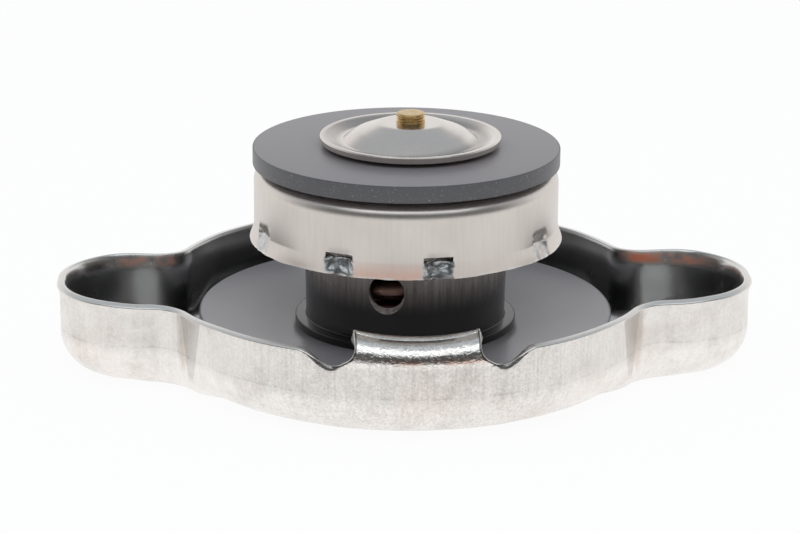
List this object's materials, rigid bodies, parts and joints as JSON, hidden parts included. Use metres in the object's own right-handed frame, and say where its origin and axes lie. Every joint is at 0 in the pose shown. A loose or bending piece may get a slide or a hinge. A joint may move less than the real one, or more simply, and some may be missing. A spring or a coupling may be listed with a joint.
{
  "type": "radiator cap",
  "caption": "Pressure radiator cap: eared pressed-steel shell with cam tabs, rubber gasket, spring housing, and a sprung pressure valve that carries a sprung vacuum valve.",
  "frame": {"origin": "on the axis, at the crown's outer face that the cap stands on", "axes": "+Z out of the open side along the valve axis, +X through one ear"},
  "size_m": [0.064, 0.0456, 0.0236],
  "materials": {
    "bright_plate": "bright tin or nickel plate over drawn sheet, fine scratches",
    "satin_plate": "satin zinc plate",
    "zinc_plate": "dull zinc plate",
    "spring_steel": "oiled spring steel",
    "gasket_rubber": "smooth grey-black rubber with a sheen",
    "seal_rubber": "matt black rubber",
    "black_paint": "gloss black",
    "coppered_wire": "dark copper-brown wire",
    "stem_brass": "turned, dull brass"
  },
  "bodies": {
    "cap": {"cap_shell": "bright_plate", "centre_rivet": "zinc_plate", "leaf_spring": "spring_steel", "top_gasket": "gasket_rubber", "gasket_retainer": "black_paint", "spring_housing": "black_paint"},
    "spring_carriage": {"pressure_spring": "coppered_wire"},
    "pressure_valve": {"valve_cup": "satin_plate", "pressure_seal": "seal_rubber", "seal_retainer": "zinc_plate", "vacuum_spring": "spring_steel"},
    "vacuum_valve": {"vacuum_plate": "satin_plate", "vacuum_stem": "stem_brass", "spring_clip": "zinc_plate"}
  },
  "joints": [
    {"name": "valve_press", "type": "slide", "parent": "cap", "child": "spring_carriage", "axis": [0, 0, -1], "range_m": [0, 0.003], "stiffness_N_per_m": 9000, "springref_m": -0.005, "deforming": ["pressure_spring"]},
    {"name": "valve_swivel", "type": "hinge", "parent": "spring_carriage", "child": "pressure_valve", "pos_m": [0, 0, 0.0165], "axis": [0, 0, 1], "continuous": true},
    {"name": "vacuum_open", "type": "slide", "parent": "pressure_valve", "child": "vacuum_valve", "axis": [0, 0, 1], "range_m": [0, 0.0015], "stiffness_N_per_m": 300, "springref_m": -0.002, "deforming": ["vacuum_spring"]}
  ]
}
